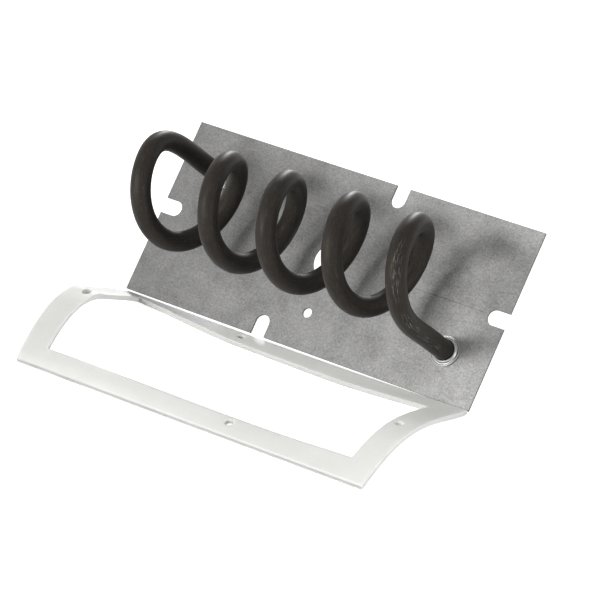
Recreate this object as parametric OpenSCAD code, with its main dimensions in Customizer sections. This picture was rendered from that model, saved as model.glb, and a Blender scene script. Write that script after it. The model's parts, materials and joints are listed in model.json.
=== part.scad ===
// Electric air heater: a tube wound into an open coil on a flat mounting plate,
// leaning on its lower edge and one terminal, with its loose gasket lying in front.

/* [Mounting plate] */
// Length of the plate
plate_l = 190.5; // [180:0.5:215]
// Width of the plate
plate_w = 85.7; // [78:0.1:100]
// Thickness of the sheet
plate_t = 1.2; // [0.8:0.1:2]
// Width of the four open screw slots
slot_w = 7.3; // [5:0.1:9]
// Depth of the screw slots from the plate's edge
slot_depth = 10.1; // [8:0.1:13]
// Distance of the slots in the long edges from the middle of the plate
slot_shift = 19.7; // [5:0.1:40]
// Diameter of the hole in the middle
centre_hole_d = 17.2; // [10:0.1:20]
// Diameter of the small hole below the middle
small_hole_d = 4.6; // [3:0.1:6]
// Distance of the small hole from the middle
small_hole_drop = 25.5; // [20:0.1:29]

/* [Heating coil] */
// Outer diameter of the tube
tube_d = 9.5; // [7:0.1:11]
// Mean radius of the coil
coil_r = 21.4; // [18:0.1:26]
// Whole turns of the coil, which ends half a turn later
whole_turns = 4; // [2:1:5]
// Height of the coil's axis above the plate
coil_h = 39.7; // [38:0.1:48]
// Distance between the two legs along the plate
leg_spacing = 146; // [120:0.5:152]
// Distance of each leg from the plate's long centre line
leg_offset = 21.2; // [17:0.1:25]
// How far the winding reaches past each leg
coil_overhang = 4.9; // [0:0.1:8]
// Straight length of each leg above the plate
leg_straight = 16.8; // [8:0.1:22]
// Angle of the winding that each leg's bend takes up
bend_angle = 62; // [45:1:75]
// How unevenly the strands are spaced, 0 for a perfect coil
unevenness = 1; // [0:0.1:1.5]

/* [Bushings] */
// Diameter of the bushing's flange
flange_d = 14.2; // [13.4:0.1:16]
// Thickness of the bushing's flange
flange_t = 0.9; // [0.6:0.1:1.6]
// Wall of the bushing's neck round the tube
neck_wall = 1.2; // [0.8:0.05:1.5]
// Height of the lip that is rolled in against the tube
lip_h = 0.8; // [0.4:0.1:1.4]
// Thickness of the bushing's nut
bushing_nut_t = 4; // [3:0.1:5]
// Width across the flats of the bushing's nut
bushing_nut_af = 17; // [16:0.5:19]
// Thickness of the washer under the bushing's nut
bushing_washer_t = 1; // [0.6:0.1:1.5]
// Outer diameter of the washer under the bushing's nut
bushing_washer_d = 19; // [18:0.5:22]

/* [Terminals] */
// Diameter of the terminal stud
stud_d = 4; // [3:0.5:5]
// Distance of the stud's tip from the plate's front
stud_reach = 22.9; // [21.5:0.1:30]
// Wall of the tube round the end seal
sheath_wall = 0.85; // [0.6:0.05:1]
// Depth of the end seal inside the tube
seal_depth = 5; // [3:0.1:8]
// Thickness of the end seal's shoulder
shoulder_t = 2; // [1:0.1:3]
// Thickness of the terminal nuts
stud_nut_t = 3; // [2:0.1:3.2]
// Width across the flats of the terminal nuts
stud_nut_af = 7; // [6:0.5:8]
// Thickness of the plain washers
stud_washer_t = 0.8; // [0.5:0.1:1]
// Thickness of the split spring washers
lock_washer_t = 1; // [0.6:0.1:1.2]

/* [Gasket] */
// Flat length of the gasket
gasket_l = 187; // [170:0.5:210]
// Flat width of the gasket
gasket_w = 85.7; // [76:0.1:98]
// Thickness of the gasket
gasket_t = 2.2; // [1.5:0.1:3]
// Width of the gasket's strips
strip_w = 12.7; // [10:0.1:16]
// Diameter of the gasket's screw holes
gasket_hole_d = 4; // [3:0.1:5]
// Distance of the front, left and right screw holes from the gasket's outer edge
hole_inset = 8.5; // [5:0.1:9]
// Distance of the front screw hole from the gasket's middle
front_hole_shift = 19.9; // [5:0.1:40]
// Distance of the back screw hole from the gasket's middle, on the other side
back_hole_shift = 25; // [5:0.1:40]
// Distance of the back screw hole from the gasket's back edge
back_hole_inset = 5; // [4:0.1:9]
// Height of the arch in the left strip
left_arch = 19.6; // [5:0.1:24]
// Height of the arch in the right strip
right_arch = 9.3; // [3:0.1:12]
// Distance of the gasket's left back corner from the plate's lower edge
back_gap = 6.5; // [1:0.1:12]
// How much nearer the plate the gasket's right front corner lies than its left one
gasket_skew = 2.4; // [0:0.1:6]
// Sideways shift of the gasket from the plate's middle
gasket_shift = 2.2; // [-8:0.1:8]

/* [Hidden] */
$fn = 64;
TUBE_SIDES = 18;
RING_STEP = 9;
BEND_STEPS = 12;
BEND_PULL = 0.4;
// Named clearances
tube_clearance = 0.05;
hole_clearance = 0.15;
thread_clearance = 0.05;
seal_clearance = 0.05;
touch_gap = 0.6;
cut = 0.1;
// Legs, seen from the front of the plate: the left one is the upper one
leg_x = leg_spacing / 2;
LEFT = [-leg_x, leg_offset];
RIGHT = [leg_x, -leg_offset];
tube_r = tube_d / 2;
// Radii of the bushing
bore_r = tube_r + tube_clearance;
neck_r = bore_r + neck_wall;
neck_hole_r = neck_r + hole_clearance;
// Levels along a leg, measured from the plate's front, all behind it
washer_z = -plate_t;
nut_z = washer_z - bushing_washer_t;
neck_z = nut_z - bushing_nut_t - 1;
sheath_z = neck_z - 1.4;
core_z = sheath_z + seal_depth;
seal_z = sheath_z - shoulder_t;
seal_nut_z = seal_z - stud_nut_t;
inner_washer_z = seal_nut_z - stud_washer_t;
outer_washer_z = inner_washer_z - stud_washer_t;
lock_washer_z = outer_washer_z - lock_washer_t;
terminal_nut_z = lock_washer_z - stud_nut_t;
// End seal and stud
mouth_r = tube_r - sheath_wall;
seal_r = mouth_r * cos(180 / TUBE_SIDES) - seal_clearance;
stud_r = stud_d / 2;
stud_chamfer = 0.4;
nut_chamfer = 0.4;
// The plate leans until the lower stud's tip meets the table
lean = atan2(stud_reach - stud_chamfer - plate_t, plate_w / 2 - leg_offset - stud_r);
// Middle of the plate's front, with its lower front edge over the X axis
plate_y = plate_w / 2 * cos(lean);
plate_z = plate_w / 2 * sin(lean) + plate_t * cos(lean);
// Coil
turn_angle = 360 * (whole_turns + 0.5);
coil_span = turn_angle - 2 * bend_angle;
coil_steps = ceil(coil_span / RING_STEP);
coil_pitch = 2 * (leg_x + coil_overhang) / (whole_turns + 0.5);
// Shifts of the strands along the coil's axis, at even steps of the winding
STRAND_SHIFTS = [-2, 1.4, -1.3, -0.6, -1.5];
// The arched sheet spans this share of its flat width on the table
arch_span = 0.886;
// The arches lean forward: 1 would put their tops halfway between back and front
ARCH_LEAN = 1.17;
// How much the steep ends of an arch shorten the strips on the table
ARCH_SQUEEZE = 0.068;
// Shares of the length over which an arch dies out along the back and the front strip
BACK_FADE = 0.28;
FRONT_FADE = 0.915;
gasket_front = back_gap + arch_span * gasket_w;
// The screw holes keep this far from the strips' inner edges
deepest_hole = strip_w - gasket_hole_d / 2 - 1;
front_inset = min(hole_inset, deepest_hole);
back_inset = min(back_hole_inset, deepest_hole);

// Points and directions along the tube, in the plate's frame:
// X along the plate, Y up the plate, Z out of its front
function unit(v) = v / norm(v);
function blend(p, q, share) = p + (q - p) * (1 - cos(180 * share)) / 2;
function strand_shift(place) = let (i = min(floor(place), len(STRAND_SHIFTS) - 2))
    blend(STRAND_SHIFTS[i], STRAND_SHIFTS[i + 1], place - i);
function wind_share(a) = min(max((a - bend_angle) / coil_span, 0), 1);
function coil_point(a) = [coil_pitch * (a - turn_angle / 2) / 360
    + unevenness * strand_shift(wind_share(a) * (len(STRAND_SHIFTS) - 1)),
    coil_r * cos(a), coil_h + coil_r * sin(a)];
function coil_way(a) = unit(coil_point(a + 0.5) - coil_point(a - 0.5));
function bezier(p, q, r, s, t) = pow(1 - t, 3) * p + 3 * pow(1 - t, 2) * t * q
    + 3 * (1 - t) * t * t * r + pow(t, 3) * s;
function leg_top(foot) = [foot.x, foot.y, leg_straight];
// Bend from a leg's top into the winding at the point end, which it meets along the direction way
function bend(foot, end, way) = let (reach = BEND_PULL * norm(end - leg_top(foot)))
    [for (i = [1:BEND_STEPS - 1]) bezier(leg_top(foot), leg_top(foot) + [0, 0, reach],
        end - reach * way, end, i / BEND_STEPS)];
function reverse(list) = [for (i = [len(list) - 1:-1:0]) list[i]];
last_angle = turn_angle - bend_angle;
left_bend = bend(LEFT, coil_point(bend_angle), coil_way(bend_angle));
right_bend = reverse(bend(RIGHT, coil_point(last_angle), -coil_way(last_angle)));
winding = [for (i = [0:coil_steps]) coil_point(bend_angle + coil_span * i / coil_steps)];
// Centres of all rings from the left end of the tube to the right one
route = concat([[LEFT.x, LEFT.y, sheath_z], leg_top(LEFT)], left_bend, winding, right_bend,
    [leg_top(RIGHT), [RIGHT.x, RIGHT.y, sheath_z]]);
last = len(route) - 1;
ways = [for (i = [0:last]) unit(route[min(i + 1, last)] - route[max(i - 1, 0)])];
leg_ways = [for (i = [0:last]) i < 2 ? [0, 0, 1] : (i > last - 2 ? [0, 0, -1] : ways[i])];
// A side direction carried along the route without twist
sides = [for (i = 0, n = [1, 0, 0]; i <= last; i = i + 1,
    n = i > last ? n : unit(n - (n * leg_ways[i]) * leg_ways[i])) n];
function ring(i, p, r) = [for (k = [0:TUBE_SIDES - 1])
    p + r * (cos(360 * k / TUBE_SIDES) * sides[i]
        + sin(360 * k / TUBE_SIDES) * cross(leg_ways[i], sides[i]))];
// Rings of the whole skin: up out of the left mouth, along the tube, and into the right one
skin = concat([ring(0, [LEFT.x, LEFT.y, core_z], mouth_r), ring(0, route[0], mouth_r)],
    [for (i = [0:last]) ring(i, route[i], tube_r)],
    [ring(last, route[last], mouth_r), ring(last, [RIGHT.x, RIGHT.y, core_z], mouth_r)]);
skin_last = len(skin) - 1;

// The gasket at the share t of its length and s of its width: it is arched at both ends
function fade(t, s) = pow(cos(90 * min(t / (BACK_FADE + (FRONT_FADE - BACK_FADE) * s), 1)), 2);
function squeezed(t, s) = s - ARCH_SQUEEZE * sin(360 * s) * (1 - t);
function arch(t, s) = sin(180 * pow(squeezed(t, s), ARCH_LEAN))
    * (left_arch * fade(t, s) + right_arch * fade(1 - t, s));
function back_line(t) = touch_gap + (back_gap - touch_gap) * (1 - t);
function front_line(t) = gasket_front - gasket_skew * t;
function sheet_point(t, s) = [gasket_shift + gasket_l * (t - 0.5),
    -back_line(t) - (front_line(t) - back_line(t)) * squeezed(t, s), arch(t, s)];
NEAR = 0.01;
function sheet_normal(t, s) = unit(cross(
    sheet_point(t, min(s + NEAR, 1)) - sheet_point(t, max(s - NEAR, 0)),
    sheet_point(min(t + NEAR, 1), s) - sheet_point(max(t - NEAR, 0), s)));
// Grid lines across the sheet's length and width; the cells inside the strips are solid
strip_t = strip_w / gasket_l;
strip_s = strip_w / gasket_w;
LONG_STEPS = 20;
WIDE_STEPS = 18;
function grid_lines(strip, steps) = concat([0, strip / 2],
    [for (i = [0:steps]) strip + (1 - 2 * strip) * i / steps], [1 - strip / 2, 1]);
ts = grid_lines(strip_t, LONG_STEPS);
ss = grid_lines(strip_s, WIDE_STEPS);
nt = len(ts);
ns = len(ss);
function in_strip(i, j) = i >= 0 && j >= 0 && i <= nt - 2 && j <= ns - 2
    && (i < 2 || j < 2 || i > nt - 4 || j > ns - 4);
function under(i, j) = i * ns + j;
function over(i, j) = nt * ns + under(i, j);
function quad(a, b, c, d) = [[a, b, c], [a, c, d]];
// Cut edge of the sheet below the top edge that runs from p to q
function edge_quad(p, q) = quad(over(q.x, q.y), over(p.x, p.y), under(p.x, p.y), under(q.x, q.y));

// The model's own origin: the middle of its box, on the table
box_back = plate_y + max((leg_offset + stud_r) * cos(lean) + (stud_reach - stud_chamfer) * sin(lean),
    (leg_offset + stud_r - stud_chamfer) * cos(lean) + stud_reach * sin(lean));
box_front = min([for (t = [0, 1]) (sheet_point(t, 1) + gasket_t * sheet_normal(t, 1)).y]);
box_left = min(-plate_l / 2, gasket_shift - gasket_l / 2);
box_right = max(plate_l / 2, gasket_shift + gasket_l / 2);
origin_x = (box_left + box_right) / 2;
origin_y = (box_front + box_back) / 2;

module on_plate() {
    translate([0, plate_y, plate_z]) rotate([lean, 0, 0]) children();
}

module placed() {
    translate([-origin_x, -origin_y, 0]) children();
}

module at_leg(leg) {
    placed() on_plate() translate([leg.x, leg.y, 0]) children();
}

module at_legs() {
    at_leg(LEFT) children();
    at_leg(RIGHT) children();
}

// One open slot, its mouth at the origin and its round end inwards along -Y
module slot() {
    translate([0, slot_w / 2 - slot_depth]) circle(d = slot_w);
    translate([-slot_w / 2, slot_w / 2 - slot_depth])
        square([slot_w, slot_depth - slot_w / 2 + cut]);
}

module mounting_plate() {
    color("silver") placed() on_plate() translate([0, 0, -plate_t])
        linear_extrude(plate_t) difference() {
            square([plate_l, plate_w], center = true);
            translate([slot_shift, plate_w / 2]) slot();
            translate([-slot_shift, -plate_w / 2]) rotate(180) slot();
            translate([plate_l / 2, 0]) rotate(-90) slot();
            translate([-plate_l / 2, 0]) rotate(90) slot();
            circle(d = centre_hole_d);
            translate([0, -small_hole_drop]) circle(d = small_hole_d);
            for (leg = [LEFT, RIGHT]) {
                translate(leg) circle(r = neck_hole_r);
            }
        }
}

module heater_sheath() {
    n = TUBE_SIDES;
    walls = [for (i = [0:skin_last - 1]) for (k = [0:n - 1]) each quad(i * n + k,
        (i + 1) * n + k, (i + 1) * n + (k + 1) % n, i * n + (k + 1) % n)];
    first_cap = [for (k = [0:n - 1]) k];
    last_cap = [for (k = [n - 1:-1:0]) skin_last * n + k];
    color("dimgray") placed() on_plate()
        polyhedron([for (r = skin) each r], concat([first_cap, last_cap], walls));
}

module bushing() {
    lip_r = bore_r + 0.7;
    flange_r = flange_d / 2;
    edge = flange_t / 3;
    rotate_extrude() polygon([[bore_r, neck_z], [neck_r - nut_chamfer, neck_z],
        [neck_r, neck_z + nut_chamfer], [neck_r, 0], [flange_r, 0], [flange_r, flange_t - edge],
        [flange_r - edge, flange_t], [lip_r + 0.4, flange_t], [lip_r, flange_t + lip_h / 2],
        [bore_r + 0.2, flange_t + lip_h], [bore_r, flange_t + lip_h]]);
}

module left_bushing() {
    color("gainsboro") at_leg(LEFT) bushing();
}

module right_bushing() {
    color("gainsboro") at_leg(RIGHT) bushing();
}

module washer(inner_r, outer_r, t) {
    difference() {
        cylinder(r = outer_r, h = t);
        translate([0, 0, -cut]) cylinder(r = inner_r, h = t + 2 * cut);
    }
}

// A hexagon nut with its corners turned off at 30 degrees on both faces
module nut(af, inner_r, t) {
    blank_r = af / sqrt(3) + nut_chamfer;
    turned = (blank_r - af / 2) * tan(30);
    difference() {
        intersection() {
            cylinder(r = af / sqrt(3), h = t, $fn = 6);
            rotate_extrude() polygon([[0, 0], [af / 2, 0], [blank_r, turned],
                [blank_r, t - turned], [af / 2, t], [0, t]]);
        }
        translate([0, 0, -cut]) cylinder(r = inner_r, h = t + 2 * cut);
    }
}

module bushing_washers() {
    color("silver") at_legs() translate([0, 0, nut_z])
        washer(neck_hole_r, bushing_washer_d / 2, bushing_washer_t);
}

module bushing_nuts() {
    color("silver") at_legs() translate([0, 0, nut_z - bushing_nut_t])
        nut(bushing_nut_af, neck_r + thread_clearance, bushing_nut_t);
}

// Shouldered insulating plug in the end of the tube
module end_seal() {
    rotate_extrude() polygon([[stud_r + seal_clearance, seal_z],
        [tube_r - nut_chamfer, seal_z], [tube_r, seal_z + nut_chamfer], [tube_r, sheath_z],
        [seal_r, sheath_z], [seal_r, core_z], [stud_r + seal_clearance, core_z]]);
}

module left_end_seal() {
    color("ivory") at_leg(LEFT) end_seal();
}

module right_end_seal() {
    color("ivory") at_leg(RIGHT) end_seal();
}

module terminal_stud() {
    rotate_extrude() polygon([[0, -stud_reach], [stud_r - stud_chamfer, -stud_reach],
        [stud_r, stud_chamfer - stud_reach], [stud_r, core_z], [0, core_z]]);
}

module left_terminal_stud() {
    color("silver") at_leg(LEFT) terminal_stud();
}

module right_terminal_stud() {
    color("silver") at_leg(RIGHT) terminal_stud();
}

module seal_nuts() {
    color("silver") at_legs() translate([0, 0, seal_nut_z])
        nut(stud_nut_af, stud_r + thread_clearance, stud_nut_t);
}

module inner_washers() {
    color("silver") at_legs() translate([0, 0, inner_washer_z])
        washer(stud_r + hole_clearance, stud_d + 0.5, stud_washer_t);
}

module outer_washers() {
    color("silver") at_legs() translate([0, 0, outer_washer_z])
        washer(stud_r + hole_clearance, stud_d + 0.5, stud_washer_t);
}

// Spring washers, each with a narrow split
module lock_washers() {
    color("gray") at_legs() translate([0, 0, lock_washer_z]) difference() {
        washer(stud_r + hole_clearance, stud_r + 1.8, lock_washer_t);
        translate([0, -0.4, -cut]) cube([stud_r + 3, 0.8, lock_washer_t + 2 * cut]);
    }
}

module terminal_nuts() {
    color("silver") at_legs() translate([0, 0, terminal_nut_z])
        nut(stud_nut_af, stud_r + thread_clearance, stud_nut_t);
}

// A screw hole through the sheet at the share t of its length and s of its width
module sheet_hole(t, s) {
    way = sheet_normal(t, s);
    translate(sheet_point(t, s)) rotate([0, acos(way.z), atan2(way.y, way.x)])
        cylinder(d = gasket_hole_d, h = 6 * gasket_t, center = true);
}

// The sheet as a grid of cells with the middle ones left out, bent up into two arches
module gasket() {
    flat_cells = [for (i = [0:nt - 2]) for (j = [0:ns - 2]) if (in_strip(i, j)) [i, j]];
    tops = [for (c = flat_cells) each quad(over(c.x, c.y), over(c.x + 1, c.y),
        over(c.x + 1, c.y + 1), over(c.x, c.y + 1))];
    bottoms = [for (c = flat_cells) each quad(under(c.x, c.y), under(c.x, c.y + 1),
        under(c.x + 1, c.y + 1), under(c.x + 1, c.y))];
    edges = [for (c = flat_cells) each concat(
        in_strip(c.x, c.y - 1) ? [] : edge_quad(c, [c.x + 1, c.y]),
        in_strip(c.x + 1, c.y) ? [] : edge_quad([c.x + 1, c.y], [c.x + 1, c.y + 1]),
        in_strip(c.x, c.y + 1) ? [] : edge_quad([c.x + 1, c.y + 1], [c.x, c.y + 1]),
        in_strip(c.x - 1, c.y) ? [] : edge_quad([c.x, c.y + 1], c))];
    color("whitesmoke") placed() difference() {
        polyhedron(concat([for (t = ts) for (s = ss) sheet_point(t, s)],
            [for (t = ts) for (s = ss) sheet_point(t, s) + gasket_t * sheet_normal(t, s)]),
            concat(tops, bottoms, edges));
        sheet_hole(0.5 + front_hole_shift / gasket_l, 1 - front_inset / gasket_w);
        sheet_hole(0.5 - back_hole_shift / gasket_l, back_inset / gasket_w);
        sheet_hole(front_inset / gasket_l, 0.5);
        sheet_hole(1 - front_inset / gasket_l, 0.5);
    }
}

mounting_plate();
heater_sheath();
left_bushing();
right_bushing();
bushing_washers();
bushing_nuts();
left_end_seal();
right_end_seal();
left_terminal_stud();
right_terminal_stud();
seal_nuts();
inner_washers();
outer_washers();
lock_washers();
terminal_nuts();
gasket();
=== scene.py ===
"""Looks of the tubular air heater: its dark coil, dull steel plate, terminals and loose gasket.

Everything is in metres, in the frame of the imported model. The plate has its own frame,
which the mounts give: u runs along the plate, v up it and n out of its front.
"""
import json
import math

import bmesh
import bpy
from mathutils import Matrix, Vector
from mathutils.geometry import delaunay_2d_cdt


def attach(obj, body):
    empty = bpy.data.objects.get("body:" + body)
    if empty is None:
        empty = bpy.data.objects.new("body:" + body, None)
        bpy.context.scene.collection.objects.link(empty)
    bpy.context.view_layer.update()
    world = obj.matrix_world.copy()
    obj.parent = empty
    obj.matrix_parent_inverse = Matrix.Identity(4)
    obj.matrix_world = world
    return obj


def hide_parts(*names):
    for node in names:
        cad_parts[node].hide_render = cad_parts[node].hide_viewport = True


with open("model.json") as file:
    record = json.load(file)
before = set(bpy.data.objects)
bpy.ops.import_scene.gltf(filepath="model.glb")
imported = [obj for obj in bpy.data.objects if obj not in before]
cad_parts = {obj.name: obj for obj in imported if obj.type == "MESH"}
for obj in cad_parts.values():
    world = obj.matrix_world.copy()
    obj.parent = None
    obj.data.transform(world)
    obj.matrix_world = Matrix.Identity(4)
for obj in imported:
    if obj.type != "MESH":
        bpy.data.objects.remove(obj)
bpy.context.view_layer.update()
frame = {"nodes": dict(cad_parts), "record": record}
MOUNTS = {mount["name"]: mount for mount in frame["record"]["mounts"]}
MM = 0.001
MM_PER_METRE = 1000
UP = Vector((0, 0, 1))
FRONTWARDS = Vector((0, -1, 0))

# Plate and its frame
PLATE_T = 1.2 * MM
PLATE_W = 85.7 * MM
AXIS_U = Vector((1, 0, 0))
AXIS_N = Vector(MOUNTS["seating_face"]["axis"]).normalized()
AXIS_V = AXIS_N.cross(AXIS_U)
PLATE_CENTRE = Vector(MOUNTS["centre_hole"]["pos_m"]) + AXIS_N * PLATE_T / 2

# Coil. The tube is a little thinner than its solid, so that it stays in the solid's box.
TUBE_R = 4.69 * MM
COIL_R = 21.4 * MM
COIL_H = 39.7 * MM
WHOLE_TURNS = 4
LEG_U = 73 * MM
LEG_V = 21.2 * MM
OVERHANG = 4.9 * MM
STRAND_SHIFTS = [shift * MM for shift in (-2, 1.4, -1.3, -0.6, -1.5)]
LEG_STRAIGHT = 16.8 * MM
BEND_ANGLE = 62
BEND_PULL = 0.4
LEGS = {"left": (-LEG_U, LEG_V), "right": (LEG_U, -LEG_V)}
# Facets round the tube, rings along a leg and a bend, and degrees between the winding's rings
TUBE_SIDES = 36
LEG_STEPS = 12
BEND_STEPS = 40
WINDING_STEP = 3

# Levels along a leg, from the plate's front
CORE_LEVEL = -3.6 * MM
SHEATH_LEVEL = -8.6 * MM
SEAL_LEVEL = -10.6 * MM
STUD_LEVEL = -22.88 * MM

# Bushing and stud
BORE_R = 4.8 * MM
NECK_R = 6 * MM
NECK_ROOT_R = NECK_R - 0.9 * MM
NECK_TOP = -1 * MM
NECK_END = -7.2 * MM
NECK_PITCH = 1 * MM
NECK_THREAD = 0.5 * MM
FLANGE_R = 7.1 * MM
FLANGE_T = 0.9 * MM
RIM_W = 0.45 * MM
RIM_LEVEL = FLANGE_T + 0.12 * MM
GROOVE_LEVEL = FLANGE_T - 0.1 * MM
LIP_H = 0.8 * MM
STUD_R = 2 * MM
STUD_PITCH = 0.7 * MM
STUD_THREAD = 0.4 * MM
STUD_CORE_R = 0.01 * MM

# Edges: a piece is shaded sharp, and its edges are broken, above this angle
SHARP_ANGLE = math.radians(35)
PLATE_BREAK = 0.12 * MM
GASKET_BREAK = 0.12 * MM
SMALL_BREAK = 0.1 * MM

# Gasket as cut, but a hair shorter than its solid, so that it stays in the solid's box
GASKET_L = 186.96 * MM
GASKET_W = 85.7 * MM
GASKET_T = 2.2 * MM
STRIP_W = 12.7 * MM
HOLE_R = 2 * MM
HOLE_INSET = 8.5 * MM
FRONT_HOLE_SHIFT = 19.9 * MM
BACK_HOLE_SHIFT = 25 * MM
BACK_HOLE_INSET = 5 * MM
GASKET_HOLES = ((GASKET_L / 2 + FRONT_HOLE_SHIFT, GASKET_W - HOLE_INSET),
                (GASKET_L / 2 - BACK_HOLE_SHIFT, BACK_HOLE_INSET),
                (HOLE_INSET, GASKET_W / 2), (GASKET_L - HOLE_INSET, GASKET_W / 2))

# Gasket as it lies: an arch across each end, which fades out sooner along the back strip
LEFT_ARCH = 19.6 * MM
RIGHT_ARCH = 9.3 * MM
ARCH_LEAN = 1.17
ARCH_SQUEEZE = 0.068
BACK_FADE = 0.28
FRONT_FADE = 0.915
# Distance of its back edge from the plate at the left and right ends, and how late that changes
BACK_GAP = 3.95 * MM
TOUCH_GAP = 1.6 * MM
GAP_CURVE = 4
# Distance of its left front corner from the plate, and how much nearer the right one lies
GASKET_FRONT = 82.43 * MM
SKEW = 2.4 * MM
# How far its middle lies to the right of the plate's
SHIFT = 2.2 * MM
# Its old fold at the left end: a dip of the sheet and a ridge on top, as shares of the width
DIP_AT, DIP_SPREAD, DIP_DEPTH = 0.38, 0.12, 1.7 * MM
RIDGE_AT, RIDGE_SPREAD, RIDGE_HEIGHT = 0.485, 0.035, 1.1 * MM
# From this share of the width on, the sheet's cut edge turns upright
UPRIGHT_FROM = 0.9

# Gasket's mesh: its grid, how far that keeps from edges and holes, and what is too thin to keep
GRID = 2 * MM
EDGE_CLEAR = 1 * MM
HOLE_CLEAR = 0.8 * MM
HOLE_SIDES = 40
SLIVER = 1e-8

# Camera, as the photograph shows the object
CAMERA_PLACE = Vector((0.81098, -1.08812, 0.75849))
CAMERA_AIM = Vector((0.00821, 0.00609, 0.03003))
CAMERA_ROLL = 0.2266
CAMERA_LENS = 209.08

# Light: a lamp's level is what it adds to a white surface that faces it.
# Each lamp has the way to it, its level, its width, its height and its distance.
AMBIENT = 0.36
LAMPS = {"key": ((-0.305, -0.82, 0.48), 0.86, 0.6, 0.25, 1.5),
         "back": ((-0.52, 1, 0.34), 0.6, 0.2, 0.2, 3),
         "fill": ((1, -0.15, 0.12), 0.5, 2, 2, 3)}
FLOOR_HALF = 3
FLOOR_LEVEL = -0.05 * MM
FLOOR_COLOUR = 0.82
FLOOR_GLOW = 0.8

# Colours
PLATE_COLOUR = (0.205, 0.204, 0.198)
SHEATH_COLOUR = (0.0192, 0.0167, 0.0145)
SHEATH_SHEEN = (1, 0.9, 0.8, 1)
BARE_STEEL_AND_GLINT = (0.34, 0.336, 0.322, 1)
BUSHING_COLOUR = (0.32, 0.32, 0.312)
FASTENER_COLOUR = (0.46, 0.46, 0.445)
CERAMIC_COLOUR = (0.75, 0.71, 0.62)
RUBBER_COLOUR = (0.82, 0.826, 0.792)

# Marks on the plate, in mm along it and up it: a line along its middle and a short one above
SCRIBE_V = 0.9
SCRIBE_HALF, SCRIBE_SOFT = 0.22, 0.15
SCRIBE_FROM, SCRIBE_TO = 45, 84
NICK_FROM, NICK_TO = 86, 95
NICK_V, NICK_SLOPE = 11.6, 0.14
SCRIBE_SHADE = 0.7
# Turn and offset of the rubbed lines' grain
RUB_LINES = ((0.5, 1), (-0.9, 2))

# Stretches of the tube that are rubbed bright, as wear and as painted glints where highlights
# fall: in metres from its left end, the side that they are on, and how softly they end
WEAR_AND_GLINTS = ((0.612, 0.658, Vector((0.44, -0.74, 0.51))), (0.664, 0.7, Vector((0.86, -0.5, -0.1))))
WEAR_AND_GLINTS_SOFT = 0.006
# How much of the rubbing the rest of the tube has
RUBBED_ELSEWHERE = 0.08

# How bright some stretches of the gasket are against the rest of it: painted light and shade, and
# the dark joint of its plies
CUT_END_PAINTED_LIGHT = 1.22
FRONT_END_PAINTED_SHADE = 0.92
FAR_END_PAINTED_SHADE = 0.74
FRONT_WALL_PAINTED_SHADE = 0.88
SHELTERED_PAINTED_LIGHT = 1.32
SEAM_AND_CONTACT_SHADOW = 0.55


def on_plate(u, v, n):
    """A point of the plate's frame, in the model's frame."""
    return PLATE_CENTRE + AXIS_U * u + AXIS_V * v + AXIS_N * n


PLATE_EDGE = on_plate(0, -PLATE_W / 2, 0)


def leg_matrix(side):
    """Places a piece that is modelled round Z on a leg's axis, with the plate's front at 0."""
    u, v = LEGS[side]
    turn = Matrix((AXIS_U, AXIS_V, AXIS_N)).transposed().to_4x4()
    return Matrix.Translation(on_plate(u, v, 0)) @ turn


# Meshes
def make_object(name, bm, material, nodes):
    """Turns a bmesh into a finished piece that stands for CAD nodes and rides on the root."""
    bmesh.ops.recalc_face_normals(bm, faces=bm.faces)
    mesh = bpy.data.meshes.new(name)
    bm.to_mesh(mesh)
    bm.free()
    mesh.materials.append(material)
    mesh.polygons.foreach_set("use_smooth", [True] * len(mesh.polygons))
    mesh.set_sharp_from_angle(angle=SHARP_ANGLE)
    piece = bpy.data.objects.new(name, mesh)
    bpy.context.scene.collection.objects.link(piece)
    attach(piece, "root")
    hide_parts(*nodes)
    return piece


def add_bevel(piece, width):
    """Breaks the sharp edges of a piece, as tumbling or punching does."""
    bevel = piece.modifiers.new("edges", "BEVEL")
    bevel.width = width
    bevel.segments = 2
    bevel.limit_method = "ANGLE"
    bevel.angle_limit = SHARP_ANGLE
    bevel.harden_normals = False
    return piece


def softened(name, material, width):
    """A copy of a CAD node with its flat faces joined up and its edges broken."""
    bm = bmesh.new()
    bm.from_mesh(frame["nodes"][name].data)
    bmesh.ops.remove_doubles(bm, verts=bm.verts, dist=1e-6)
    bmesh.ops.dissolve_limit(bm, angle_limit=math.radians(0.5), verts=bm.verts, edges=bm.edges)
    return add_bevel(make_object(name + "_finished", bm, material, [name]), width)


def join_rings(bm, a, b):
    """Faces between two rings of the same number of points."""
    for i in range(len(a)):
        m = (i + 1) % len(a)
        bm.faces.new((a[i], a[m], b[m], b[i]))


def lathe(bm, profile, matrix, steps=96):
    """Turns a closed profile of (radius, level) points about a leg's axis."""
    rings = []
    for i in range(steps):
        angle = math.tau * i / steps
        rings.append([bm.verts.new(matrix @ Vector((r * math.cos(angle), r * math.sin(angle), z)))
                      for r, z in profile])
    for a, b in zip(rings, rings[1:] + rings[:1]):
        join_rings(bm, a, b)


def rounded(points, radius, steps=4):
    """A closed profile with each corner cut back and rounded by an arc-like curve."""
    out = []
    count = len(points)
    for i, point in enumerate(points):
        here = Vector(point)
        before, after = Vector(points[i - 1]), Vector(points[(i + 1) % count])
        reach = min(radius, (before - here).length * 0.45, (after - here).length * 0.45)
        start = here + (before - here).normalized() * reach
        end = here + (after - here).normalized() * reach
        for k in range(steps + 1):
            t = k / steps
            p = start * (1 - t) ** 2 + here * 2 * t * (1 - t) + end * t * t
            out.append((p.x, p.y))
    return out


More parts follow.
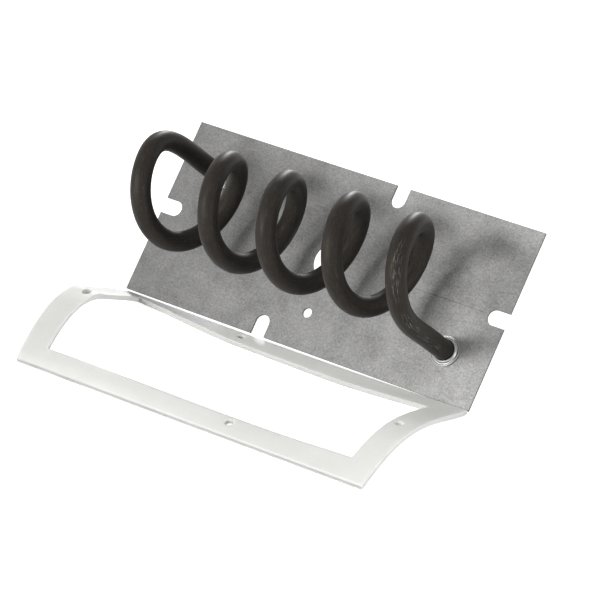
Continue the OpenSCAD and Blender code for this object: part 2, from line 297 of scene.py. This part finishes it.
def thread(bm, matrix, radius, pitch, depth, low, high, steps=32):
    """A screw thread round Z between two levels, closed by flat ends inside it."""
    per_turn = 4
    root = radius - depth
    shape = (root, root + depth * 0.6, radius, root + depth * 0.6)
    rows = int((high - low) / pitch * per_turn)
    rings = []
    for j in range(rows + 1):
        ring = []
        for i in range(steps):
            phase = j - per_turn * i / steps
            k = math.floor(phase)
            t = phase - k
            r = shape[k % per_turn] * (1 - t) + shape[(k + 1) % per_turn] * t
            edge = min(j, rows - j) / per_turn
            r = min(r, root + depth * min(1, edge))
            a = math.tau * i / steps
            z = low + (high - low) * j / rows
            ring.append(bm.verts.new(matrix @ Vector((r * math.cos(a), r * math.sin(a), z))))
        rings.append(ring)
    for a, b in zip(rings, rings[1:]):
        join_rings(bm, a, b)
    bm.faces.new(rings[0])
    bm.faces.new(list(reversed(rings[-1])))


# The tube's route in the plate's frame
TURN_ANGLE = 360 * (WHOLE_TURNS + 0.5)
PITCH = 2 * (LEG_U + OVERHANG) / (WHOLE_TURNS + 0.5)


def strand_shift(angle):
    """How far a strand is off its even place along the coil's axis."""
    share = min(max((angle - BEND_ANGLE) / (TURN_ANGLE - 2 * BEND_ANGLE), 0), 1)
    where = share * (len(STRAND_SHIFTS) - 1)
    i = min(math.floor(where), len(STRAND_SHIFTS) - 2)
    blend = (1 - math.cos(math.pi * (where - i))) / 2
    return STRAND_SHIFTS[i] * (1 - blend) + STRAND_SHIFTS[i + 1] * blend


def coil_point(angle):
    """The middle of the winding, an angle on from where an even coil would start."""
    a = math.radians(angle)
    return Vector((PITCH * (angle - TURN_ANGLE / 2) / 360 + strand_shift(angle),
                   COIL_R * math.cos(a), COIL_H + COIL_R * math.sin(a)))


def coil_way(angle):
    """The winding's direction."""
    return (coil_point(angle + 0.5) - coil_point(angle - 0.5)).normalized()


def leg_points(side):
    """Up a leg, from the tube's end behind the plate to where its bend starts."""
    rise = LEG_STRAIGHT - SHEATH_LEVEL
    return [Vector((*LEGS[side], SHEATH_LEVEL + rise * i / LEG_STEPS)) for i in range(LEG_STEPS)]


def bend(side, end, way):
    """From a leg's top into the winding, which it meets at the point end."""
    top = Vector((*LEGS[side], LEG_STRAIGHT))
    reach = BEND_PULL * (end - top).length
    p, q, r, s = top, top + Vector((0, 0, reach)), end - way * reach, end
    points = []
    for i in range(BEND_STEPS + 1):
        t = i / BEND_STEPS
        u = 1 - t
        points.append(p * u ** 3 + q * 3 * t * u ** 2 + r * 3 * t * t * u + s * t ** 3)
    return points


def tube_route():
    """The middle of the tube, from the left leg's end to the right leg's."""
    last = TURN_ANGLE - BEND_ANGLE
    span = last - BEND_ANGLE
    steps = round(span / WINDING_STEP)
    start = leg_points("left") + bend("left", coil_point(BEND_ANGLE), coil_way(BEND_ANGLE))
    winding = [coil_point(BEND_ANGLE + span * i / steps) for i in range(1, steps)]
    end = leg_points("right") + bend("right", coil_point(last), -coil_way(last))
    return start + winding + end[::-1]


def heater_tube(material):
    """The sheath as one smooth tube, with UV as turns round it and metres along it."""
    route = tube_route()
    last = len(route) - 1
    bm = bmesh.new()
    uv = bm.loops.layers.uv.new("tube")
    rings, along, length = [], [], 0
    side = AXIS_U
    for i, point in enumerate(route):
        way = (route[min(i + 1, last)] - route[max(i - 1, 0)]).normalized()
        side = (side - way * side.dot(way)).normalized()
        other = way.cross(side)
        if i:
            length += (point - route[i - 1]).length
        along.append(length)
        ring = []
        for k in range(TUBE_SIDES):
            a = math.tau * k / TUBE_SIDES
            p = point + (side * math.cos(a) + other * math.sin(a)) * TUBE_R
            ring.append(bm.verts.new(on_plate(*p)))
        rings.append(ring)
    for i in range(last):
        for k in range(TUBE_SIDES):
            m = (k + 1) % TUBE_SIDES
            face = bm.faces.new((rings[i][k], rings[i][m], rings[i + 1][m], rings[i + 1][k]))
            corners = ((k, i), (k + 1, i), (k + 1, i + 1), (k, i + 1))
            for loop, (turn, j) in zip(face.loops, corners):
                loop[uv].uv = (turn / TUBE_SIDES, along[j])
    bm.faces.new(rings[0])
    bm.faces.new(list(reversed(rings[-1])))
    return make_object("heater_tube", bm, material, ["heater_sheath"])


# Gasket. A place on it is the share t of its length and the share s of its width, from its
# left end and from its back edge.
def fade(t, s):
    """How much of an end's arch is left at the share t of the length from it."""
    reach = BACK_FADE + (FRONT_FADE - BACK_FADE) * s
    return math.cos(math.pi / 2 * min(t / reach, 1)) ** 2


def wave(t, s, at, spread_by, height):
    """A swell across the left end, where the sheet was folded."""
    return max(1 - 2 * t, 0) * height * math.exp(-((s - at) / spread_by) ** 2)


def sheet_point(t, s):
    """The underside of the gasket, which stays on or over the floor."""
    t, s = min(max(t, 0), 1), min(max(s, 0), 1)
    across = max(s - ARCH_SQUEEZE * math.sin(math.tau * s) * (1 - t), 0)
    back = TOUCH_GAP + (BACK_GAP - TOUCH_GAP) * (1 - t ** GAP_CURVE)
    front = GASKET_FRONT - SKEW * t
    height = LEFT_ARCH * fade(t, s) + RIGHT_ARCH * fade(1 - t, s)
    x = PLATE_CENTRE.x + SHIFT + GASKET_L * (t - 0.5)
    y = PLATE_EDGE.y - back - (front - back) * across
    z = height * math.sin(math.pi * across ** ARCH_LEAN)
    return Vector((x, y, max(z - wave(t, s, DIP_AT, DIP_SPREAD, DIP_DEPTH), 0)))


def sheet_normal(t, s):
    near = 0.01
    across = sheet_point(t, s + near) - sheet_point(t, s - near)
    return across.cross(sheet_point(t + near, s) - sheet_point(t - near, s)).normalized()


def rectangle(x_low, y_low, x_high, y_high):
    """Points round a rectangle, about one grid step apart."""
    corners = ((x_low, y_low), (x_high, y_low), (x_high, y_high), (x_low, y_high))
    loop = []
    for i, start in enumerate(corners):
        start, end = Vector(start), Vector(corners[(i + 1) % 4])
        count = round((end - start).length / GRID)
        loop.extend(start.lerp(end, k / count) for k in range(count))
    return loop


def circle(x, y):
    """Points round a screw hole."""
    angles = [math.tau * k / HOLE_SIDES for k in range(HOLE_SIDES)]
    return [Vector((x + HOLE_R * math.cos(a), y + HOLE_R * math.sin(a))) for a in angles]


def in_window(x, y, margin):
    """Whether a place lies in the gasket's window, or no more than a margin outside it."""
    low = STRIP_W - margin
    return low < x < GASKET_L - STRIP_W + margin and low < y < GASKET_W - STRIP_W + margin


def flat_gasket():
    """Points and triangles of the flat gasket, in metres along its length and its width."""
    loops = [rectangle(0, 0, GASKET_L, GASKET_W),
             rectangle(STRIP_W, STRIP_W, GASKET_L - STRIP_W, GASKET_W - STRIP_W)]
    loops += [circle(*hole) for hole in GASKET_HOLES]
    points, edges = [], []
    for loop in loops:
        first, count = len(points), len(loop)
        points.extend(loop)
        edges.extend((first + i, first + (i + 1) % count) for i in range(count))
    for i in range(1, int(GASKET_L / GRID)):
        for j in range(1, int(GASKET_W / GRID)):
            x, y = i * GRID, j * GRID
            near_hole = any((x - hole_x) ** 2 + (y - hole_y) ** 2 < (HOLE_R + HOLE_CLEAR) ** 2
                            for hole_x, hole_y in GASKET_HOLES)
            near_edge = GASKET_L - x < EDGE_CLEAR or GASKET_W - y < EDGE_CLEAR
            if not (in_window(x, y, EDGE_CLEAR) or near_hole or near_edge):
                points.append(Vector((x, y)))
    verts, _, faces = delaunay_2d_cdt(points, edges, [], 0, 1e-7)[:3]

    def keep(face):
        a, b, c = (verts[i] for i in face)
        centre = (a + b + c) / 3
        in_hole = any((centre - Vector(hole)).length < HOLE_R * 0.995 for hole in GASKET_HOLES)
        thin = abs((b - a).cross(c - a)) < SLIVER
        return not (in_window(centre.x, centre.y, 0) or in_hole or thin)

    return verts, [face for face in faces if keep(face)]


def gasket_sheet(material):
    """The gasket as one bent sheet with cut edges.

    Its UV is 0 on the underside and 1 on top, so that it is the share of the thickness on the
    cut edges. It is 1 all over the walls of the holes.
    """
    verts, faces = flat_gasket()
    bm = bmesh.new()
    ply = bm.loops.layers.uv.new("ply")
    under, over = [], []
    for p in verts:
        t, s = p.x / GASKET_L, p.y / GASKET_W
        low = sheet_point(t, s)
        under.append(bm.verts.new(low))
        upright = max((s - UPRIGHT_FROM) / (1 - UPRIGHT_FROM), 0)
        way = sheet_normal(t, s).lerp(UP, min(upright, 1)).normalized()
        thickness = GASKET_T + wave(t, s, RIDGE_AT, RIDGE_SPREAD, RIDGE_HEIGHT)
        over.append(bm.verts.new(low + way * thickness))
    sides = {}
    for a, b, c in faces:
        bm.faces.new((over[a], over[b], over[c]))
        bm.faces.new((under[c], under[b], under[a]))
        sides.update({(a, b): True, (b, c): True, (c, a): True})
    for p, q in sides:
        if (q, p) not in sides:
            bm.faces.new((over[q], over[p], under[p], under[q]))
    top = set(over)
    for p, low in zip(verts, under):
        if any((p - Vector(hole)).length < HOLE_R * 1.02 for hole in GASKET_HOLES):
            top.add(low)
    for face in bm.faces:
        for loop in face.loops:
            loop[ply].uv = (1 if loop.vert in top else 0, 0)
    loose = [v for v in bm.verts if not v.link_faces]
    bmesh.ops.delete(bm, geom=loose, context="VERTS")
    piece = make_object("gasket_sheet", bm, material, ["gasket"])
    return add_bevel(piece, GASKET_BREAK)


# Materials
def new_material(name):
    """A material with its node tree and its shader."""
    material = bpy.data.materials.new(name)
    material.use_nodes = True
    tree = material.node_tree
    shader = next(n for n in tree.nodes if n.type == "BSDF_PRINCIPLED")
    return material, tree, shader


def put(tree, socket, value):
    """Links a socket to another, or gives it a constant."""
    if hasattr(value, "is_output"):
        tree.links.new(value, socket)
    else:
        socket.default_value = value


def node(tree, kind, inputs=None, **settings):
    """A node with its settings, and with its inputs linked or given constants."""
    made = tree.nodes.new(kind)
    for key, value in settings.items():
        setattr(made, key, value)
    for key, value in (inputs or {}).items():
        put(tree, made.inputs[key], value)
    return made


def dress(tree, shader, values):
    for name, value in values.items():
        put(tree, shader.inputs[name], value)


def noise(tree, vector, scale, detail=3, roughness=0.5):
    inputs = {"Vector": vector, "Scale": scale, "Detail": detail, "Roughness": roughness}
    return node(tree, "ShaderNodeTexNoise", inputs).outputs["Fac"]


def stretched(tree, vector, scale, **settings):
    """The vector scaled, and turned and moved where the settings say so."""
    inputs = {"Vector": vector, "Scale": scale, **settings}
    return node(tree, "ShaderNodeMapping", inputs).outputs[0]


def spread(tree, value, low, high, out_low, out_high):
    """Maps a value from one range to another, clamped."""
    inputs = {"Value": value, "From Min": low, "From Max": high,
              "To Min": out_low, "To Max": out_high}
    return node(tree, "ShaderNodeMapRange", inputs).outputs["Result"]


def swing(tree, value, out_low, out_high):
    """Maps the part of a noise's range that matters to another range, clamped."""
    return spread(tree, value, 0.3, 0.7, out_low, out_high)


def window(tree, value, low, high, soft):
    """1 between two values and 0 outside them."""
    return times(tree, spread(tree, value, low - soft, low + soft, 0, 1),
                 spread(tree, value, high - soft, high + soft, 1, 0))


def combine(tree, operation, a, b):
    made = node(tree, "ShaderNodeMath", {0: a, 1: b}, operation=operation)
    return made.outputs[0]


def times(tree, first, *others):
    for other in others:
        first = combine(tree, "MULTIPLY", first, other)
    return first


def total(tree, first, *others):
    for other in others:
        first = combine(tree, "ADD", first, other)
    return first


def shaded(tree, level, mask, shade):
    """The level, times a shade where the mask is 1."""
    return times(tree, level, spread(tree, mask, 0, 1, 1, shade))


def tinted(tree, value, colour):
    """The colour times a grey value."""
    made = node(tree, "ShaderNodeVectorMath", {0: colour, "Scale": value}, operation="SCALE")
    return made.outputs[0]


def bump(tree, shader, height, distance, strength):
    inputs = {"Height": height, "Strength": strength, "Distance": distance}
    dress(tree, shader, {"Normal": node(tree, "ShaderNodeBump", inputs).outputs[0]})


def place(tree):
    return node(tree, "ShaderNodeTexCoord").outputs["Object"]


def mesh_uv(tree, name):
    return node(tree, "ShaderNodeUVMap", uv_map=name).outputs[0]


def part_of(tree, vector, axis):
    """The X or Y of a vector."""
    return node(tree, "ShaderNodeSeparateXYZ", {0: vector}).outputs[axis]


def surface_normal(tree):
    return node(tree, "ShaderNodeNewGeometry").outputs["Normal"]


def dot(tree, a, b):
    made = node(tree, "ShaderNodeVectorMath", {0: a, 1: b}, operation="DOT_PRODUCT")
    return made.outputs["Value"]


def measured(tree, where, axis, origin=PLATE_CENTRE):
    """Millimetres from an origin along an axis."""
    offset = node(tree, "ShaderNodeVectorMath", {0: where, 1: origin}, operation="SUBTRACT")
    return dot(tree, offset.outputs[0], axis * MM_PER_METRE)


def plate_marks(tree, u, v):
    """1 on the two scribed lines and 0 beside them."""
    low, high = SCRIBE_V - SCRIBE_HALF, SCRIBE_V + SCRIBE_HALF
    line = times(tree, window(tree, v, low, high, SCRIBE_SOFT),
                 window(tree, u, SCRIBE_FROM, SCRIBE_TO, 1))
    end_v = NICK_V + NICK_SLOPE * (NICK_TO - NICK_FROM)
    off = combine(tree, "SUBTRACT", v, spread(tree, u, NICK_FROM, NICK_TO, NICK_V, end_v))
    nick = times(tree, window(tree, off, -SCRIBE_HALF, SCRIBE_HALF, SCRIBE_SOFT),
                 window(tree, u, NICK_FROM, NICK_TO, 0.5))
    return combine(tree, "MAXIMUM", line, nick)


def plate_steel():
    """Dull zinc-coated sheet: mottled grain, soft clouds, scribed lines, a few rub marks and
    painted sheen.
    """
    material, tree, shader = new_material("plate_steel")
    where = place(tree)
    u, v = measured(tree, where, AXIS_U), measured(tree, where, AXIS_V)
    grain = noise(tree, where, 1200, 3, 0.65)
    clouds = noise(tree, where, 75, 4, 0.6)
    mottling = noise(tree, where, 260, 3, 0.6)
    wide = noise(tree, where, 18, 2)
    level = total(tree, swing(tree, grain, -0.27, 0.27), swing(tree, clouds, -0.12, 0.12),
                  swing(tree, mottling, -0.07, 0.07), swing(tree, wide, 0.96, 1.04))
    # Painted sheen: the sheet is lighter towards its right end, its lower right corner and its
    # upper edge
    corner = times(tree, spread(tree, u, 25, 90, 0, 1), spread(tree, v, 15, -40, 0, 0.2))
    level = times(tree, level, total(tree, corner, spread(tree, u, -95, 95, 0.79, 1.38)),
                  spread(tree, v, -40, 40, 0.96, 1.08))
    level = shaded(tree, level, plate_marks(tree, u, v), SCRIBE_SHADE)
    for turn, offset in RUB_LINES:
        lines = stretched(tree, where, (35, 1500, 35), Rotation=(0, turn, turn),
                          Location=(offset, 0, 0))
        level = total(tree, level, spread(tree, noise(tree, lines, 1, 2), 0.68, 0.78, 0, 0.3))
    # Painted shade: the cut edges are darker than the faces
    facing = combine(tree, "ABSOLUTE", dot(tree, surface_normal(tree), AXIS_N), 0)
    level = times(tree, level, spread(tree, facing, 0.3, 0.8, 0.45, 1))
    dress(tree, shader, {"Base Color": tinted(tree, level, PLATE_COLOUR), "Metallic": 0.25,
                         "Roughness": swing(tree, clouds, 0.34, 0.44), "Specular IOR Level": 0.3})
    bump(tree, shader, grain, 0.03 * MM, 0.3)
    return material


def sheath_steel():
    """Dark oxidised tube with a satin sheen, bright with rubbing in places, and glints painted
    there.
    """
    material, tree, shader = new_material("sheath_steel")
    where, around, normal = place(tree), mesh_uv(tree, "tube"), surface_normal(tree)
    grain = noise(tree, where, 1500, 3, 0.6)
    clouds = noise(tree, where, 120, 4, 0.6)
    streaks = noise(tree, stretched(tree, around, (110, 170, 1)), 1, 4, 0.7)
    along = part_of(tree, around, "Y")
    wear_and_glints = RUBBED_ELSEWHERE
    # Each rubbed stretch is bright only on its side where the highlights fall, as a painted glint
    for start, end, side in WEAR_AND_GLINTS:
        wear_glint_patch = times(tree, window(tree, along, start, end, WEAR_AND_GLINTS_SOFT),
                      spread(tree, dot(tree, normal, side), 0.88, 0.98, 0, 1))
        wear_and_glints = total(tree, wear_and_glints, wear_glint_patch)
    worn_and_glinting = times(tree, spread(tree, streaks, 0.55, 0.67, 0, 1), wear_and_glints)
    level = total(tree, swing(tree, grain, -0.25, 0.25), swing(tree, clouds, 0.85, 1.15))
    colours = {0: worn_and_glinting, 6: tinted(tree, level, SHEATH_COLOUR), 7: BARE_STEEL_AND_GLINT}
    colour = node(tree, "ShaderNodeMix", colours, data_type="RGBA").outputs[2]
    rough = combine(tree, "SUBTRACT", swing(tree, clouds, 0.46, 0.54), times(tree, worn_and_glinting, 0.1))
    dress(tree, shader, {"Base Color": colour, "Roughness": rough, "Specular IOR Level": 0.14,
                         "Specular Tint": SHEATH_SHEEN})
    bump(tree, shader, grain, 0.03 * MM, 0.3)
    return material


def zinc_steel(name, colour):
    """Bright plated steel of the small turned pieces."""
    material, tree, shader = new_material(name)
    grain = noise(tree, place(tree), 1500, 3)
    dress(tree, shader, {"Base Color": tinted(tree, swing(tree, grain, 0.9, 1.1), colour),
                         "Roughness": swing(tree, grain, 0.3, 0.39), "Metallic": 0.8})
    bump(tree, shader, grain, 0.01 * MM, 0.15)
    return material


def seal_ceramic():
    material, tree, shader = new_material("seal_ceramic")
    grain = noise(tree, place(tree), 900, 4)
    colour = tinted(tree, swing(tree, grain, 0.92, 1.05), CERAMIC_COLOUR)
    dress(tree, shader, {"Base Color": colour, "Roughness": 0.75})
    bump(tree, shader, grain, 0.03 * MM, 0.4)
    return material


def gasket_rubber():
    """White foam rubber: faintly grainy, a ply joint along its front cut edges, painted light and
    shade.
    """
    material, tree, shader = new_material("gasket_rubber")
    where, normal = place(tree), surface_normal(tree)
    ply = part_of(tree, mesh_uv(tree, "ply"), "X")
    grain = noise(tree, where, 1100, 3, 0.6)
    clouds = noise(tree, where, 60, 4, 0.6)
    along = measured(tree, where, AXIS_U)
    ahead = measured(tree, where, FRONTWARDS, PLATE_EDGE)
    to_right, to_back = part_of(tree, normal, "X"), part_of(tree, normal, "Y")

    # The sheet as a whole, with a little painted shade at its left end, and a little painted light
    # to the right and on faces that look back
    level = total(tree, swing(tree, grain, -0.02, 0.02), swing(tree, clouds, 0.975, 1.015))
    level = times(tree, level, spread(tree, along, -90, 0, 0.9, 1),
                  spread(tree, along, 30, 95, 1, 1.08),
                  spread(tree, to_back, -0.5, 0.5, 0.84, 1.03))

    # Its cut edges: painted light on those that look right, painted shade on those that look to
    # the front, and on these the dark ply joint with a painted contact shadow along the edge's
    # bottom
    off_middle = combine(tree, "ABSOLUTE", combine(tree, "SUBTRACT", ply, 0.5), 0)
    edge = combine(tree, "LESS_THAN", off_middle, 0.499)
    cut_end = times(tree, edge, spread(tree, to_right, 0.3, 0.8, 0, 1))
    front_wall = times(tree, edge, spread(tree, to_back, -0.6, -0.3, 1, 0))
    # The dark joint between the plies, and a painted contact shadow along the bottom of the edge
    seam_and_contact_shadow = combine(tree, "MAXIMUM", window(tree, ply, 0.42, 0.62, 0.05),
                   spread(tree, ply, 0.08, 0.16, 1, 0))
    in_front = combine(tree, "GREATER_THAN", ahead, GASKET_W / 2 * MM_PER_METRE)
    seam_and_contact_shadow = times(tree, seam_and_contact_shadow, front_wall, in_front)

    # Its left end, with painted shade on the front corner and the arch's back slope, and painted
    # light on the back strip in its shelter
    front_end = times(tree, spread(tree, along, -85, -20, 1, 0),
                      spread(tree, ahead, 60, 70, 0, 1))
    far_end = times(tree, spread(tree, along, -84, -78, 1, 0),
                    spread(tree, to_back, 0.05, 0.3, 0, 1))
    top = combine(tree, "GREATER_THAN", ply, 0.999)
    sheltered = times(tree, window(tree, along, -84, -38, 8), top,
                      spread(tree, ahead, 14, 20, 1, 0))

    for mask, shade in ((cut_end, CUT_END_PAINTED_LIGHT), (front_end, FRONT_END_PAINTED_SHADE),
                        (far_end, FAR_END_PAINTED_SHADE), (front_wall, FRONT_WALL_PAINTED_SHADE),
                        (sheltered, SHELTERED_PAINTED_LIGHT), (seam_and_contact_shadow, SEAM_AND_CONTACT_SHADOW)):
        level = shaded(tree, level, mask, shade)
    dress(tree, shader, {"Base Color": tinted(tree, level, RUBBER_COLOUR),
                         "Roughness": swing(tree, clouds, 0.45, 0.55), "Subsurface Weight": 1,
                         "Subsurface Radius": (1, 1, 1), "Subsurface Scale": 2.5 * MM})
    bump(tree, shader, grain, 0.03 * MM, 0.3)
    return material


# Small pieces
def bushing(side, material):
    """Turned bushing: a flange with a raised rim, a lip round the tube, and a threaded neck."""
    profile = rounded([(BORE_R, NECK_END), (NECK_ROOT_R, NECK_END), (NECK_ROOT_R, NECK_TOP),
                       (NECK_R, NECK_TOP), (NECK_R, 0), (FLANGE_R, 0), (FLANGE_R, RIM_LEVEL),
                       (FLANGE_R - RIM_W, RIM_LEVEL), (FLANGE_R - 0.6 * MM, GROOVE_LEVEL),
                       (BORE_R + 1.15 * MM, GROOVE_LEVEL),
                       (BORE_R + 0.75 * MM, FLANGE_T + LIP_H * 0.7),
                       (BORE_R + 0.3 * MM, FLANGE_T + LIP_H),
                       (BORE_R, FLANGE_T + LIP_H * 0.8)], 0.18 * MM)
    bm = bmesh.new()
    matrix = leg_matrix(side)
    lathe(bm, profile, matrix)
    thread(bm, matrix, NECK_R, NECK_PITCH, NECK_THREAD, NECK_END, NECK_TOP, 64)
    name = side + "_bushing"
    return make_object(name + "_turned", bm, material, [name])


def terminal_stud(side, material):
    """The plain pin inside the seal, and the threaded stud behind it."""
    bm = bmesh.new()
    matrix = leg_matrix(side)
    low = SEAL_LEVEL - 0.2 * MM
    profile = rounded([(STUD_CORE_R, low), (STUD_R, low), (STUD_R, CORE_LEVEL),
                       (STUD_CORE_R, CORE_LEVEL)], 0.1 * MM, 2)
    lathe(bm, profile, matrix, 48)
    thread(bm, matrix, STUD_R, STUD_PITCH, STUD_THREAD, STUD_LEVEL, SEAL_LEVEL)
    name = side + "_terminal_stud"
    return make_object(name + "_threaded", bm, material, [name])


def build_object():
    plate = plate_steel()
    zinc = zinc_steel("bushing_steel", BUSHING_COLOUR)
    fastener = zinc_steel("fastener_steel", FASTENER_COLOUR)
    ceramic = seal_ceramic()
    softened("mounting_plate", plate, PLATE_BREAK)
    heater_tube(sheath_steel())
    for side in LEGS:
        bushing(side, zinc)
        terminal_stud(side, fastener)
        softened(side + "_end_seal", ceramic, SMALL_BREAK)
    for name in ("bushing_washers", "bushing_nuts", "seal_nuts", "inner_washers", "outer_washers",
                 "lock_washers", "terminal_nuts"):
        softened(name, fastener, SMALL_BREAK)
    gasket_sheet(gasket_rubber())


# Studio
def ray_share(tree):
    """1 for rays that show the background itself: from the camera, in gloss or through glass."""
    path = node(tree, "ShaderNodeLightPath")
    share = combine(tree, "MAXIMUM", path.outputs["Is Camera Ray"], path.outputs["Is Glossy Ray"])
    return combine(tree, "MAXIMUM", share, path.outputs["Is Transmission Ray"])


def add_world():
    """Plain light from all sides, which shows as white behind the object."""
    world = bpy.data.worlds.new("studio")
    bpy.context.scene.world = world
    world.use_nodes = True
    tree = world.node_tree
    background = next(n for n in tree.nodes if n.type == "BACKGROUND")
    strength = spread(tree, ray_share(tree), 0, 1, AMBIENT, 1)
    dress(tree, background, {"Color": (1, 1, 1, 1), "Strength": strength})


def add_floor():
    """A square under the object, which shows white and takes its shadow."""
    bm = bmesh.new()
    for x, y in ((-1, -1), (1, -1), (1, 1), (-1, 1)):
        bm.verts.new((x * FLOOR_HALF, y * FLOOR_HALF, FLOOR_LEVEL))
    bm.faces.new(bm.verts)
    mesh = bpy.data.meshes.new("floor")
    bm.to_mesh(mesh)
    bm.free()
    floor = bpy.data.objects.new("floor", mesh)
    bpy.context.scene.collection.objects.link(floor)
    material, tree, shader = new_material("floor")
    glow = spread(tree, ray_share(tree), 0, 1, 0, FLOOR_GLOW)
    dress(tree, shader, {"Base Color": (FLOOR_COLOUR, FLOOR_COLOUR, FLOOR_COLOUR, 1),
                         "Roughness": 0.9, "Specular IOR Level": 0,
                         "Emission Color": (1, 1, 1, 1), "Emission Strength": glow})
    mesh.materials.append(material)


def add_lamp(name, way, level, width, height, distance):
    """A rectangular lamp that looks at the origin."""
    way = Vector(way).normalized()
    data = bpy.data.lights.new(name, "AREA")
    data.shape = "RECTANGLE"
    data.size = width
    data.size_y = height
    data.energy = level * (math.pi * distance) ** 2
    made = bpy.data.objects.new(name, data)
    made.location = way * distance
    made.rotation_mode = "QUATERNION"
    made.rotation_quaternion = way.to_track_quat("Z", "Y")
    bpy.context.scene.collection.objects.link(made)


def add_camera():
    data = bpy.data.cameras.new("camera")
    data.lens = CAMERA_LENS
    data.sensor_width = 36
    data.clip_start = 0.05
    data.clip_end = 20
    made = bpy.data.objects.new("camera", data)
    bpy.context.scene.collection.objects.link(made)
    made.rotation_mode = "QUATERNION"
    made.location = CAMERA_PLACE
    level = (CAMERA_AIM - CAMERA_PLACE).to_track_quat("-Z", "Y")
    roll = Matrix.Rotation(math.radians(CAMERA_ROLL), 3, "Z").to_quaternion()
    made.rotation_quaternion = level @ roll
    bpy.context.scene.camera = made


bpy.context.scene.view_settings.view_transform = "Standard"
add_camera()
add_world()
add_floor()
for lamp_name, settings in LAMPS.items():
    add_lamp(lamp_name, *settings)
build_object()
